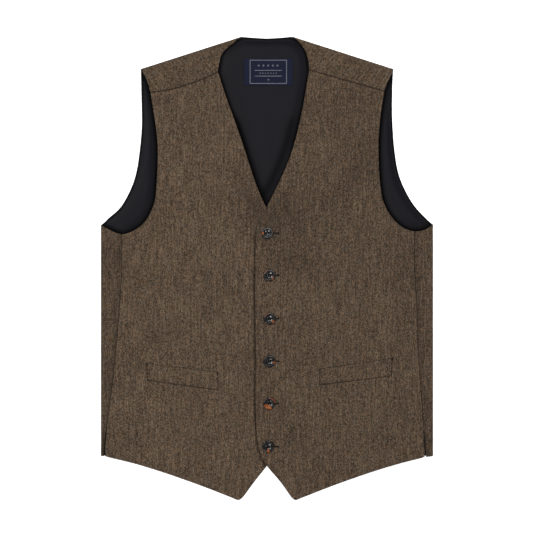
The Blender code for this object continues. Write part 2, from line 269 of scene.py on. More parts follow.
def cut_up(outline, grid, rim_depths, bands=()):
    """The flat cut as (points, rim depth or infinity, triangles), with rings along its rim."""
    rings = [inset(outline, depth) for depth in rim_depths]
    low, high = outline.min(0), outline.max(0)
    rows = np.arange(low[1], high[1], grid * 3**0.5 / 2)
    columns = np.arange(low[0], high[0], grid)
    x, y = np.meshgrid(columns, rows)
    x = x + (np.arange(len(rows)) % 2)[:, None] * grid / 2
    field = np.stack([x.ravel(), y.ravel()], 1)
    for band in bands:
        field = field[~in_band(field, band, grid / 2)]
    if bands:
        field = np.concatenate([field, along_bands(bands, grid)])
    field = field[inside(field, rings[-1])]
    apart = (0.3 if bands else 0.55) * grid
    field = field[distance_to(field, rings[-1], closed=True) > apart]
    points = np.concatenate(rings + [field])
    count = len(outline)
    edges = []
    for k in range(len(rings)):
        edges += [(k * count + i, k * count + (i + 1) % count) for i in range(count)]
    flat = [Vector(p) for p in points / MM]
    verts, _, faces, origins, _, _ = geometry.delaunay_2d_cdt(flat, edges, [], 1, 1e-5)
    depths = np.repeat(rim_depths, count)
    rim_depth = [
        min((depths[o] for o in source if o < len(depths)), default=np.inf) for source in origins
    ]
    return np.array([tuple(v) for v in verts]) * MM, np.array(rim_depth), [tuple(f) for f in faces]


def shell(
    name, outline, grid, thick, place, upper, lower, edge_rings=(), shade=None, bands=()
):
    """A cloth shell with a rounded rim. place gives the middle of the cloth and its upward side,
    shade how far the cloth is darkened, mostly as painted shade, from 0 to 1, and bands where the cloth
    bends sharply."""
    radius = thick / 2
    rim_depths = [radius * (1 - cos(radians(a))) for a in RIM_ANGLES] + list(edge_rings)
    points, rim_depth, triangles = cut_up(outline, grid, rim_depths, bands)
    depth = np.minimum(rim_depth, radius)
    half = np.sqrt(np.maximum(radius**2 - (radius - depth) ** 2, 0))
    middle, side = place(points)
    top = middle + side * half[:, None]
    under = np.flatnonzero(depth > 1e-9)
    bottom = middle[under] - side[under] * half[under][:, None]
    below = np.arange(len(points))
    below[under] = len(points) + np.arange(len(under))
    faces = triangles + [tuple(int(below[i]) for i in reversed(f)) for f in triangles]
    cut = np.concatenate([points, points[under]])
    obj = mesh_object(name, np.concatenate([top, bottom]), faces, (upper, lower), cut)
    slots = np.zeros(len(faces), np.int32)
    slots[len(triangles):] = 1
    obj.data.polygons.foreach_set("material_index", slots)
    # The shade attribute carries painted shade into the cloth's colour
    if shade:
        layer = obj.data.attributes.new("shade", "FLOAT", "POINT")
        layer.data.foreach_set("value", np.clip(shade(cut), 0, 1).astype(np.float32))
    return obj


def mesh_object(name, verts, faces, materials, cut=None):
    """A smooth mesh object; cut is where each vertex lies in the flat cloth, which is its UV."""
    data = bpy.data.meshes.new(name)
    data.from_pydata(np.asarray(verts).tolist(), [], faces)
    if cut is not None:
        corners = np.zeros(len(data.loops), np.int32)
        data.loops.foreach_get("vertex_index", corners)
        layer = data.uv_layers.new(name="cut")
        layer.data.foreach_set("uv", cut[corners].astype(np.float32).ravel())
    for material in materials:
        data.materials.append(material)
    data.shade_smooth()
    data.update()
    obj = bpy.data.objects.new(name, data)
    bpy.context.scene.collection.objects.link(obj)
    return obj


def bell(distance, width):
    """1 where the distance is 0, falling away smoothly on both sides."""
    return np.exp(-((distance / width) ** 2))


def nearest(points, lines):
    """How far each point is from the nearest of some lines."""
    return np.min([distance_to(points, line) for line in lines], axis=0)


def lifted(points, height):
    """Flat points with a height for each."""
    return np.concatenate([points, height[:, None]], 1)


def pointing(heading):
    """The direction of a heading in degrees."""
    return np.array((cos(radians(heading)), sin(radians(heading))))


def ramp(value, start, end):
    """Goes smoothly from 0 at start to 1 at end."""
    t = np.clip((value - start) / (end - start), 0, 1)
    return t * t * (3 - 2 * t)


# ---------------- the back's folds

Fold = namedtuple("Fold", "point outwards")


def folds(side):
    """The side fold and the shoulder fold of one side, where the cloth starts to turn."""
    along = (SHOULDER_TIP - NECK_POINT).normalized()
    outwards = Vector((-along.y, along.x))
    start = NECK_POINT - outwards * SKIN_RADIUS
    return (
        Fold(Vector((side * (HALF_WIDTH - SKIN_RADIUS), 0)), Vector((side, 0))),
        Fold(Vector((side * start.x, start.y)), Vector((side * outwards.x, outwards.y))),
    )


def opened_out(point):
    """Where a point of the back's outer skin lies in the flat cut."""
    flat = point.to_2d()
    side_fold, shoulder_fold = folds(1 if point.x > 0 else -1)
    fold = shoulder_fold if point.y > SHOULDER_LEVEL else side_fold
    past = (flat - fold.point).dot(fold.outwards)
    if past > 0:
        turned = atan2(past, SKIN_RADIUS - point.z) * FOLD_RADIUS
    elif point.z > SKIN_RADIUS:
        turned = pi * FOLD_RADIUS - past
    else:
        return flat
    return flat + fold.outwards * (turned - past)


def fold_over(points):
    """The flat cut folded at the sides and shoulders: the middle of the cloth, its lining side,
    and the share that is turned over, from 0 on the lower layer to 1 on the upper one."""
    middle = lifted(points, np.full(len(points), BACK_THICK / 2))
    side = np.tile((0.0, 0.0, 1.0), (len(points), 1))
    for sign in (1, -1):
        for fold in folds(sign):
            out = np.array(fold.outwards)
            past = (points - np.array(fold.point)) @ out
            turned = (past > 0) & (points[:, 0] * sign > 0)
            angle = np.clip(past / FOLD_RADIUS, 0, pi)
            beyond = np.maximum(past - pi * FOLD_RADIUS, 0)
            shift = FOLD_RADIUS * np.sin(angle) - beyond - past
            middle[turned, :2] += (shift[:, None] * out)[turned]
            middle[turned, 2] += (FOLD_RADIUS * (1 - np.cos(angle)))[turned]
            side[turned, :2] = (-np.sin(angle)[:, None] * out)[turned]
            side[turned, 2] = np.cos(angle)[turned]
    return middle, side, (1 - side[:, 2]) / 2


FOLD_BANDS = [
    Band(np.array(fold.point), np.array(fold.outwards), pi * FOLD_RADIUS)
    for sign in (1, -1)
    for fold in folds(sign)
]
FOLD_PITCH = 0.7 * MM


def closer_at_folds(outline):
    """The outline, with more points where the cloth is folded."""
    points = []
    for start, end in zip(outline, np.roll(outline, -1, 0)):
        middle = (start + end)[None] / 2
        folded = any(in_band(middle, band, RIM_PITCH)[0] for band in FOLD_BANDS)
        pieces = max(1, round(np.linalg.norm(end - start) / FOLD_PITCH)) if folded else 1
        points += [start + (end - start) * k / pieces for k in range(pieces)]
    return np.array(points)


BACK = smooth_cut(
    [opened_out(p) for p in skin_rim("back", lower=True)],
    "neck shoulder_right arm_right side_right hem side_left arm_left shoulder_left",
)
BACK = BACK._replace(outline=closer_at_folds(BACK.outline))
LINING = cut_of("back_lining", "neck arm_right side_right hem side_left arm_left")
FRONTS = {
    1: cut_of("front_left", "lower side arm shoulder"),
    -1: cut_of("front_right", "shoulder arm side lower"),
}
SIDE_NAMES = {1: "left", -1: "right"}

# ---------------- the height of the cloth

# Soft ridges and troughs, from one end to the other with a sideways bow, in millimetres
Crease = namedtuple("Crease", "x y end_x end_y bow width height")

CREASES = {
    1: (
        Crease(144, 168, 42, -14, 10, 13, -0.55),
        Crease(122, 150, 60, 60, -6, 16, 0.40),
        Crease(116, -10, 40, -72, 8, 14, 0.45),
        Crease(30, 122, 52, 72, 4, 12, -0.50),
        Crease(104, 244, 98, 222, 2, 12, -0.45),
        Crease(204, 30, 196, -60, 4, 15, -0.40),
        Crease(92, -76, 66, -128, 6, 11, -0.30),
        Crease(188, -118, 120, -142, 4, 12, -0.30),
        Crease(166, -60, 150, -120, -5, 16, 0.35),
        Crease(212, -196, 170, -214, 3, 15, -0.35),
        Crease(80, -210, 74, -300, 5, 15, 0.30),
    ),
    -1: (
        Crease(-44, -20, -42, -140, -3, 15, 0.50),
        Crease(-130, 62, -122, -120, 6, 15, -0.30),
        Crease(-60, 132, -150, 92, -8, 15, -0.40),
        Crease(-106, 200, -98, 110, 5, 16, 0.35),
        Crease(-70, -128, -84, -164, 3, 11, -0.40),
        Crease(-122, -212, -96, -262, 6, 13, -0.40),
        Crease(-40, -190, -76, -248, -6, 15, -0.45),
        Crease(-168, -214, -150, -262, -4, 15, 0.35),
        Crease(-178, 20, -186, -90, 5, 17, 0.30),
    ),
}
LINING_CREASES = (
    Crease(-6, 246, 2, 130, 5, 9, 0.50),
    Crease(26, 240, 18, 150, -4, 8, 0.40),
    Crease(-34, 262, -20, 190, 4, 8, -0.30),
    Crease(-28, 330, 30, 331, -5, 6, 0.35),
    Crease(181, 262, 180, 150, -3, 6, 0.40),
    Crease(200, 104, 228, 78, 4, 7, 0.45),
    Crease(-180, 250, -182, 150, 3, 6, 0.40),
    Crease(-196, 104, -224, 78, -4, 7, 0.45),
)
UNDER_CREASES = (
    Crease(-60, 210, -20, 60, 12, 16, 0.25),
    Crease(70, 190, 30, 40, -14, 18, 0.22),
    Crease(-150, 20, -60, -90, 16, 15, 0.20),
    Crease(160, -10, 80, -130, -12, 16, 0.25),
    Crease(-20, -120, 10, -250, 8, 17, 0.20),
)
LIFT_WIDTH = 26 * MM
NECK_LIFT = 3.2 * MM
ARM_LIFT = 2.2 * MM
CURL_WIDTH = 9 * MM
CURL_HEIGHT = 2.2 * MM
EASE_WIDTH = 30 * MM
EASE_HEIGHT = 0.9 * MM
UNEVENNESS = 0.14 * MM
DROOP = 2.1 * MM
DROOP_FROM, DROOP_TO = -286 * MM, -342 * MM
STITCH_LINE = 2.9 * MM
STITCH_FURROW = 0.16 * MM
FURROW_WIDTH = 0.9 * MM

Lines = namedtuple("Lines", "neck arm seams free")


def upper_part(run):
    """The part of an edge of the back that is turned over onto the front, as it lies there."""
    middle, _, share = fold_over(run)
    return middle[share > 0.99, :2]


def side_lines(side):
    """The neck and armhole edges of one side's upper layer, and its front's seams and free edges."""
    edges = FRONTS[side].edges
    name = SIDE_NAMES[side]
    yoke_neck = upper_part(BACK.edges["neck"])
    yoke_neck = yoke_neck[yoke_neck[:, 0] * side > 0]
    turned_arm = upper_part(BACK.edges[f"arm_{name}"])
    yoke_arm = turned_arm[turned_arm[:, 1] > SHOULDER_LEVEL]
    strip_arm = turned_arm[turned_arm[:, 1] < SHOULDER_LEVEL]
    neck_v = edges["lower"][edges["lower"][:, 1] > LAP_CORNER_Y]
    return Lines(
        neck=np.concatenate([yoke_neck[::-side], neck_v[::side]]),
        arm=np.concatenate([strip_arm[::-side], edges["arm"][::side], yoke_arm[::-side]]),
        seams=np.concatenate([edges["shoulder"], edges["side"]]),
        free=(edges["lower"], edges["arm"]),
    )


LINES = {side: side_lines(side) for side in (1, -1)}


def creased(points, creases):
    """The height that the creases add."""
    height = np.zeros(len(points))
    for crease in creases:
        start = np.array((crease.x, crease.y)) * MM
        along = np.array((crease.end_x, crease.end_y)) * MM - start
        length = np.linalg.norm(along)
        along /= length
        t = (points - start) @ along / length
        sideways = (points - start) @ np.array((-along[1], along[0]))
        sideways -= crease.bow * MM * 4 * t * (1 - t)
        fade = ramp(t, -0.25, 0.3) * ramp(t, 1.25, 0.7)
        height += crease.height * MM * fade * bell(sideways, crease.width * MM)
    return height


# The slow unevenness of cloth that is never pressed quite flat
Wave = namedtuple("Wave", "length heading start")
WAVES = (Wave(61, 0.4, 0.0), Wave(83, 1.9, 1.3), Wave(47, 2.7, 4.1), Wave(109, 0.9, 2.2))


def uneven(points):
    x, y = points.T / MM
    total = np.zeros(len(points))
    for wave in WAVES:
        along = x * cos(wave.heading) + y * sin(wave.heading)
        total += np.sin(2 * pi * along / wave.length + wave.start)
    return UNEVENNESS * total


def lap_height(points):
    """How far the left front is lifted by the right one beneath it."""
    x, y = points.T
    across = 1 - ramp(x, *LAP_ACROSS)
    return LAP_RISE * across * (1 - ramp(y, *LAP_TOP)) * (1 - ramp(y, *LAP_BOTTOM))


def lap_curl(points):
    """How far the left front's edge curls up along the overlap."""
    x, y = points.T
    edge = bell(distance_to(points, FRONTS[1].edges["lower"]), CURL_WIDTH)
    along = ramp(y, LAP_CORNER_Y + 20 * MM, LAP_CORNER_Y - 60 * MM) * ramp(y, -330 * MM, -298 * MM)
    return CURL_HEIGHT * along * edge * (1 - ramp(x, *LAP_ACROSS))


def edge_lift(side, points):
    """How far the upper layer stands off the lining along the neck and the armhole."""
    lines, fold = LINES[side], folds(side)[1]
    below_fold = (np.array(fold.point) - points) @ np.array(fold.outwards)
    by_neck = ramp(below_fold, 2 * MM, 30 * MM) * ramp(points[:, 1], 84 * MM, 150 * MM)
    by_arm = ramp(below_fold, 4 * MM, 40 * MM) * ramp(points[:, 1], 58 * MM, 110 * MM)
    neck = np.clip(1 - distance_to(points, lines.neck) / LIFT_WIDTH, 0, 1) ** 2
    arm = np.clip(1 - distance_to(points, lines.arm) / LIFT_WIDTH, 0, 1) ** 2
    return NECK_LIFT * by_neck * neck + ARM_LIFT * by_arm * arm


def furrow(distance):
    """The slight furrow that a line of stitching makes along an edge."""
    return -STITCH_FURROW * bell(distance - STITCH_LINE, FURROW_WIDTH)


def front_height(side, points):
    """The height of the middle of a front."""
    x, y = points.T
    ease = 1 - bell(distance_to(points, LINES[side].seams), EASE_WIDTH)
    height = FRONT_MID + ease * (EASE_HEIGHT + uneven(points)) + edge_lift(side, points)
    height += creased(points, CREASES[side]) * ramp(side * x, 16 * MM, 40 * MM)
    height -= DROOP * ramp(y, DROOP_FROM, DROOP_TO)
    if side > 0:
        height += lap_height(points) + lap_curl(points)
    return height


def place_front(side):
    """Puts a front's flat cut in place."""
    def place(points):
        height = front_height(side, points)
        for line in LINES[side].free:
            height += furrow(distance_to(points, line))
        return on_level(points, height)
    return place


def on_level(points, height):
    """Cloth that lies level at the given heights."""
    return lifted(points, height), np.tile((0.0, 0.0, 1.0), (len(points), 1))


def under_height(points):
    return creased(points, UNDER_CREASES)


def place_back(points):
    """Folds the back's flat cut into place, and lifts its upper layer with the fronts."""
    middle, side, share = fold_over(points)
    flat = middle[:, :2]
    lift = np.zeros(len(points))
    for sign in (1, -1):
        here = flat[:, 0] * sign > 0
        lift[here] = edge_lift(sign, flat[here])
    middle[:, 2] += share * lift + (1 - share) * under_height(flat)
    return middle, side


LINING_ROLL = 0.55 * MM
CROWN = 2.6 * MM
CROWN_WIDTH = 16 * MM
CROWN_RIM = 12 * MM
FAR = 400 * MM
ROLL_LINE, ROLL_WIDTH = 1.5 * MM, 1.3 * MM
FELL_LINE = 1 * MM


def opening_lines():
    """Each opening that shows the lining, as the edges over it and an outline round it."""
    neck = [LINES[side].neck for side in (1, -1)]
    openings = [(neck, np.concatenate([neck[0], neck[1][::-1]]))]
    for side in (1, -1):
        arm = LINES[side].arm
        beyond = np.array(((side * FAR, arm[-1, 1]), (side * FAR, arm[0, 1])))
        openings.append(([arm], np.concatenate([arm, beyond])))
    return openings


OPENINGS = opening_lines()


def crown(points):
    """How far the lining bulges up between the edges that lie over it."""
    height = np.zeros(len(points))
    rim = distance_to(points, LINING.outline, closed=True)
    for lines, outline in OPENINGS:
        here = inside(points, outline)
        height += here * CROWN * ramp(nearest(points, lines), 0, CROWN_WIDTH) * ramp(rim, 0, CROWN_RIM)
    return height


def lining_height(points):
    """The height of the middle of the lining, without its rolled edge."""
    return LINING_MID + under_height(points) + creased(points, LINING_CREASES) + crown(points)


# Painted shadow on the lining beside the edges that lie over it: the side, the edge, the edge's distance,
# width and strength, and how far up the body it starts and ends
Shade = namedtuple("Shade", "side edge middle width strength low high")
LINING_SHADES = (
    Shade(-1, "neck", 0, 7.5, 0.95, 60, 215),
    Shade(-1, "neck", 0, 4.5, 0.85, 190, 360),
    Shade(1, "neck", 0, 4.5, 0.85, 190, 360),
    Shade(1, "neck", 12, 6.5, 0.55, 75, 215),
    Shade(1, "neck", 0, 2.5, 0.60, 60, 215),
    Shade(-1, "arm", 0, 6.0, 0.95, 40, 320),
    Shade(1, "arm", 0, 6.0, 0.95, 40, 320),
)
SHADE_FADE = 25 * MM
# Painted shade along the lining's own rolled edge
RIM_SHADE, RIM_SHADE_WIDTH = 0.8, 2.4 * MM


def band(distance, middle, width):
    return bell(distance - middle * MM, width * MM)


def lining_rim(points):
    """How far each point is from the lining's rolled edge."""
    return nearest(points, [LINING.edges[name] for name in ("neck", "arm_left", "arm_right")])


def lining_shade(points):
    """Painted shade on the lining: shadow beside the edges over it, and shade along its own rolled edge.
    """
    lighter = 1 - RIM_SHADE * bell(lining_rim(points), RIM_SHADE_WIDTH)
    y = points[:, 1]
    for shade in LINING_SHADES:
        there = ramp(y, shade.low * MM - SHADE_FADE, shade.low * MM)
        there *= 1 - ramp(y, shade.high * MM, shade.high * MM + SHADE_FADE)
        distance = distance_to(points, getattr(LINES[shade.side], shade.edge))
        lighter *= 1 - shade.strength * there * band(distance, shade.middle, shade.width)
    return 1 - lighter


# Painted shade: its strength, and its width in millimetres, beside the edge that laps over, along the
# fronts' seams on the strips, and in the seams and vents; the strips are also a little darker all over,
# and more below the top of the vents
LAP_SHADE, LAP_SHADE_WIDTH = 0.66, 2.6
STRIP_SHADE, SEAM_SHADE, SEAM_SHADE_WIDTH = 0.10, 0.16, 7.0
TUCK_SHADE, TUCK_WIDTH = 0.58, 0.9
SIDE_TUCK_SHADE, VENT_TUCK_SHADE = 0.18, 0.34
VENT_TOP, VENT_STEP = -247.6 * MM, 3 * MM
VENT_SHADE = 0.16


def side_tuck(points):
    """How much painted shade darkens the side seams: faint above, and dark where they are open as vents.
    """
    vent = ramp(points[:, 1], VENT_TOP + VENT_STEP, VENT_TOP)
    return SIDE_TUCK_SHADE + (VENT_TUCK_SHADE - SIDE_TUCK_SHADE) * vent


# Soft painted shade where a front's cloth sinks or pulls: its middle and half sizes in millimetres,
# the heading of its length in degrees, and its strength
Hollow = namedtuple("Hollow", "x y length width heading strength")
HOLLOWS = {
    1: (
        Hollow(16, 78, 52, 34, -8, 0.34),
        Hollow(134, 144, 58, 22, 54, 0.30),
        Hollow(112, 240, 52, 34, 20, 0.14),
        Hollow(48, 6, 50, 22, -12, 0.19),
        Hollow(203, 10, 85, 24, 90, 0.16),
        Hollow(206, -245, 60, 20, 80, 0.10),
        Hollow(164, -316, 22, 13, 30, 0.20),
    ),
    -1: (
        Hollow(-20, 84, 34, 30, 0, 0.24),
        Hollow(-32, 122, 44, 13, -66, 0.18),
        Hollow(-86, 246, 34, 20, -60, 0.14),
        Hollow(-82, -130, 30, 14, 80, 0.16),
    ),
}


def hollow_shade(side, points):
    """How far painted shade darkens the soft hollows of a front."""
    total = np.zeros(len(points))
    for hollow in HOLLOWS[side]:
        along = pointing(hollow.heading)
        offset = (points - np.array((hollow.x, hollow.y)) * MM) / MM
        far = (offset @ along / hollow.length) ** 2
        far += (offset @ np.array((-along[1], along[0])) / hollow.width) ** 2
        total += hollow.strength * np.exp(-far)
    return total


def front_shade(side):
    """Painted shade on a front: in its seams, in its soft hollows, and on the right one beside the edge
    that laps over it.
    """
    def shade(points):
        total = TUCK_SHADE * band(distance_to(points, FRONTS[side].edges["shoulder"]), 0, TUCK_WIDTH)
        total += hollow_shade(side, points)
        seam = distance_to(points, FRONTS[side].edges["side"])
        total += side_tuck(points) * band(seam, 0, TUCK_WIDTH)
        if side < 0:
            # Painted shadow of the left front's edge, on the right front beside it
            along = ramp(points[:, 1], LAP_CORNER_Y + 16 * MM, LAP_CORNER_Y - 30 * MM)
            beside = distance_to(points, FRONTS[1].edges["lower"])
            total += LAP_SHADE * along * band(beside, 0, LAP_SHADE_WIDTH)
        return total
    return shade


def back_shade(points):
    """The strips at the sides are a little darker, and more so below the top of the vents; painted shade
    darkens them most of all along the fronts' seams, and the back's shoulder and side seams.
    """
    middle, _, share = fold_over(points)
    beside = nearest(middle[:, :2], [FRONTS[side].edges["side"] for side in (1, -1)])
    strip = share * (points[:, 1] < SHOULDER_LEVEL)
    vent = strip * ramp(points[:, 1], VENT_TOP + VENT_STEP, VENT_TOP)
    shade = strip * (STRIP_SHADE + SEAM_SHADE * band(beside, 0, SEAM_SHADE_WIDTH)) + VENT_SHADE * vent
    for name in ("left", "right"):
        shoulder = distance_to(points, BACK.edges[f"shoulder_{name}"])
        seam = distance_to(points, BACK.edges[f"side_{name}"])
        shade += TUCK_SHADE * band(shoulder, 0, TUCK_WIDTH)
        shade += side_tuck(points) * band(seam, 0, TUCK_WIDTH)
    return shade


def place_lining(points):
    """Lays the lining down, with a low roll along the neck and the armholes."""
    rim = lining_rim(points)
    roll = LINING_ROLL * bell(rim - ROLL_LINE, ROLL_WIDTH) + furrow(rim - FELL_LINE)
    return on_level(points, lining_height(points) + roll)


# ---------------- materials


class Nodes:
    """Builds a material; wherever it takes a value, that is a number, a colour or an output."""

    def __init__(self, name):
        self.material = bpy.data.materials.new(name)
        self.material.use_nodes = True
        self.tree = self.material.node_tree
        self.shader = self.tree.nodes["Principled BSDF"]

    def feed(self, socket, value):
        if isinstance(value, bpy.types.NodeSocket):
            self.tree.links.new(value, socket)
        elif value is not None:
            socket.default_value = value

    def node(self, kind, *values, **settings):
        made = self.tree.nodes.new(kind)
        for key, value in settings.items():
            setattr(made, key, value)
        for socket, value in zip(made.inputs, values):
            self.feed(socket, value)
        return made

    def math(self, operation, *values):
        return self.node("ShaderNodeMath", *values, operation=operation).outputs[0]

    def times(self, first, second):
        return self.math("MULTIPLY", first, second)

    def vector(self, operation, *values):
        return self.node("ShaderNodeVectorMath", *values, operation=operation).outputs

    def scaled(self, vector, *factors):
        return self.vector("MULTIPLY", vector, factors)[0]

    def cloth(self):
        """Where a point lies in the flat cloth, in millimetres."""
        layer = self.node("ShaderNodeUVMap", uv_map="cut").outputs[0]
        return self.scaled(layer, 1 / MM, 1 / MM, 1)

    def solid(self):
        """Where a point lies from its object's origin, in millimetres."""
        return self.scaled(self.node("ShaderNodeTexCoord").outputs["Object"], *(1 / MM,) * 3)

    def noise(self, vector, detail=2.0, roughness=0.5, scale=1.0, distortion=0.0):
        made = self.node("ShaderNodeTexNoise")
        self.feed(made.inputs["Vector"], vector)
        made.inputs["Scale"].default_value = scale
        made.inputs["Detail"].default_value = detail
        made.inputs["Roughness"].default_value = roughness
        made.inputs["Distortion"].default_value = distortion
        return made.outputs[0]

    def step(self, value, low, high, bottom=0.0, top=1.0):
        made = self.node("ShaderNodeMapRange", interpolation_type="SMOOTHSTEP")
        for key, given in (
            ("Value", value), ("From Min", low), ("From Max", high), ("To Min", bottom), ("To Max", top)
        ):
            self.feed(made.inputs[key], given)
        return made.outputs[0]

    def mix(self, share, first, second, blend="MIX"):
        made = self.node("ShaderNodeMix", data_type="RGBA", blend_type=blend)
        self.feed(made.inputs[0], share)
        self.feed(made.inputs[6], first)
        self.feed(made.inputs[7], second)
        return made.outputs[2]

    def tinted(self, first, second):
        return self.mix(1.0, first, second, blend="MULTIPLY")

    def cells(self, vector, randomness=1.0):
        made = self.node("ShaderNodeTexVoronoi")
        self.feed(made.inputs["Vector"], vector)
        made.inputs["Scale"].default_value = 1.0
        made.inputs["Randomness"].default_value = randomness
        return made.outputs

    def specks(self, vector, share, size, smoothness=0.15):
        """1 in a speck in a share of the cells, and 0 between them."""
        cells = self.cells(vector)
        chance = self.node("ShaderNodeSeparateColor", cells["Color"]).outputs[0]
        chosen = self.math("LESS_THAN", chance, share)
        near = self.step(cells["Distance"], size + smoothness, size - smoothness)
        return self.times(chosen, near)

    def shade(self):
        """How far the cloth is darkened here, from 0 to 1, mostly as painted shade."""
        return self.node("ShaderNodeAttribute", attribute_name="shade").outputs["Fac"]

    def bump(self, height, strength, distance):
        made = self.node("ShaderNodeBump")
        made.inputs["Strength"].default_value = strength
        made.inputs["Distance"].default_value = distance
        self.feed(made.inputs["Height"], height)
        self.feed(self.shader.inputs["Normal"], made.outputs[0])

    def finish(self, colour, roughness, **constants):
        self.feed(self.shader.inputs["Base Color"], colour)
        self.feed(self.shader.inputs["Roughness"], roughness)
        for key, value in constants.items():
            self.shader.inputs[key.replace("_", " ")].default_value = value
        return self.material


# How bright the studio light shows a white surface, on a scale where 1 is white on the screen
LIGHT_LEVEL = 1.3


def shown(red, green, blue, tone_and_shade=1.0):
    """The surface colour that the studio light shows at these screen values, from 0 to 255."""
    linear = []
    for value in (red, green, blue):
        c = value / 255
        linear.append(c / 12.92 if c <= 0.04045 else ((c + 0.055) / 1.055) ** 2.4)
    return (*(c * tone_and_shade / LIGHT_LEVEL for c in linear), 1.0)


def tweed(name, tone_and_shade=1.0):
    """Pepper-and-salt tweed: uneven brown yarns that streak lengthways, with dark and tan flecks."""
    n = Nodes(name)
    cloth = n.cloth()
    crossing = n.cells(n.scaled(cloth, 0.95, 0.70, 1), 0.8)
    chance = n.node("ShaderNodeSeparateColor", crossing["Color"])
    # The tone given scales every colour of this cloth: below 1 it paints shade over a whole piece, above
    # 1 light
    body = n.mix(n.step(chance.outputs[0], 0, 1), shown(57, 46, 36, tone_and_shade), shown(109, 92, 75, tone_and_shade))
    hue = n.mix(n.step(chance.outputs[1], 0, 1), (1.12, 0.98, 0.86, 1), (0.88, 1.01, 1.14, 1))
    body = n.tinted(body, hue)
    yarn = n.noise(n.scaled(cloth, 0.62, 0.13, 1), detail=2.0)
    streak = n.noise(n.scaled(cloth, 0.38, 0.026, 1), detail=2.0)
    patch = n.noise(n.scaled(cloth, 0.016, 0.012, 1), detail=3.0)
    for source, low, high in ((yarn, 0.83, 1.17), (streak, 0.74, 1.26), (patch, 0.93, 1.07)):
        body = n.tinted(body, n.step(source, 0.28, 0.72, low, high))
    dark = n.specks(n.scaled(cloth, 0.45, 0.36, 1), 0.13, 0.24)
    body = n.mix(n.times(dark, 0.7), body, shown(30, 27, 29, tone_and_shade))
    light = n.specks(n.scaled(cloth, 0.52, 0.44, 1), 0.07, 0.20)
    body = n.mix(n.times(light, 0.7), body, shown(142, 120, 96, tone_and_shade))
    nep = n.specks(n.scaled(cloth, 0.13, 0.11, 1), 0.16, 0.08, 0.03)
    body = n.mix(n.times(nep, 0.6), body, shown(182, 132, 76, tone_and_shade))
    # Painted shade: the shade attribute darkens the cloth toward near black
    body = n.mix(n.shade(), body, shown(10, 8, 7))
    twist = n.noise(n.scaled(cloth, 2.6, 1.5, 1), detail=2.0)
    dome = n.times(crossing["Distance"], -1.3)
    n.bump(n.math("ADD", dome, n.math("ADD", n.times(twist, 0.6), yarn)), 0.5, 0.4 * MM)
    return n.finish(
        body, 0.92,
        Specular_IOR_Level=0.12, Sheen_Weight=0.06, Sheen_Roughness=0.6,
        Sheen_Tint=(0.75, 0.66, 0.56, 1.0),
    )


def satin(name, colour, sheen):
    """Smooth lining cloth with a very fine crosswise rib."""
    n = Nodes(name)
    cloth = n.cloth()
    apart = n.node("ShaderNodeSeparateXYZ", cloth)
    rib = n.math("SINE", n.times(apart.outputs[1], 2 * pi / 1.1))
    thread = n.noise(n.scaled(cloth, 0.25, 2.2, 1), detail=2.0)
    shade = n.step(n.math("ADD", n.times(rib, 0.12), thread), 0.2, 0.9, 0.86, 1.14)
    n.bump(n.math("ADD", rib, thread), 0.12, 0.2 * MM)
    # Painted shade darkens the lining toward black, and its roughness rises with it so that it shows less
    # gloss
    body = n.mix(n.shade(), n.tinted(colour, shade), shown(3, 3, 3))
    return n.finish(
        body, n.step(n.shade(), 0, 1, 0.42, 0.95),
        Specular_IOR_Level=0.085, Sheen_Weight=sheen, Sheen_Roughness=0.35,
        Sheen_Tint=(0.62, 0.66, 0.85, 1.0), Anisotropic=0.4,
    )


def woven(name):
    """The label's close-woven navy taffeta."""
    n = Nodes(name)
    cloth = n.cloth()
    apart = n.node("ShaderNodeSeparateXYZ", cloth)
    warp = n.math("SINE", n.times(apart.outputs[0], 2 * pi / 0.5))
    weft = n.math("SINE", n.times(apart.outputs[1], 2 * pi / 0.42))
    grid = n.times(warp, weft)
    fleck = n.noise(n.scaled(cloth, 0.9, 1.6, 1), detail=2.0)
    shade = n.step(n.math("ADD", n.times(grid, 0.2), fleck), 0.2, 0.9, 0.8, 1.2)
    n.bump(grid, 0.3, 0.1 * MM)
    return n.finish(
        n.tinted(shown(30, 34, 52), shade), 0.8,
        Specular_IOR_Level=0.08, Sheen_Weight=0.01,
    )


def thread(name, colour, gloss=0.6):
    """Sewing thread, with the lie of its twist."""
    n = Nodes(name)
    spot = n.solid()
    twist = n.noise(n.scaled(spot, 2.4, 2.4, 2.4), detail=2.0)
    n.bump(twist, 0.3, 0.1 * MM)
    return n.finish(
        n.mix(n.step(twist, 0.3, 0.7), n.mix(0.45, colour, (0, 0, 0, 1)), colour), gloss,
        Specular_IOR_Level=0.12, Sheen_Weight=0.01,
    )


# Where amber shows in a button's dark horn: its heading from the middle and how far it spreads to
# each side of it in degrees, its strength, and how near and far it lies in millimetres
Amber = namedtuple("Amber", "heading spread strength near far")
AMBER = (
    (Amber(182, 11, 0.90, 5.2, 8.6),),
    (Amber(131, 26, 0.50, 7.3, 8.8), Amber(-43, 13, 0.85, 4.2, 8.0)),
    (Amber(126, 26, 0.55, 7.3, 8.8), Amber(-41, 14, 0.90, 4.2, 8.0)),
    (Amber(-12, 11, 0.90, 5.4, 8.6),),
    (Amber(-115, 50, 0.90, 2.8, 8.8), Amber(48, 44, 0.50, 7.0, 8.7)),
    (Amber(-88, 14, 0.80, 2.2, 8.4),),
)
AMBER_EDGE = 1.2
AMBER_TURN = 6


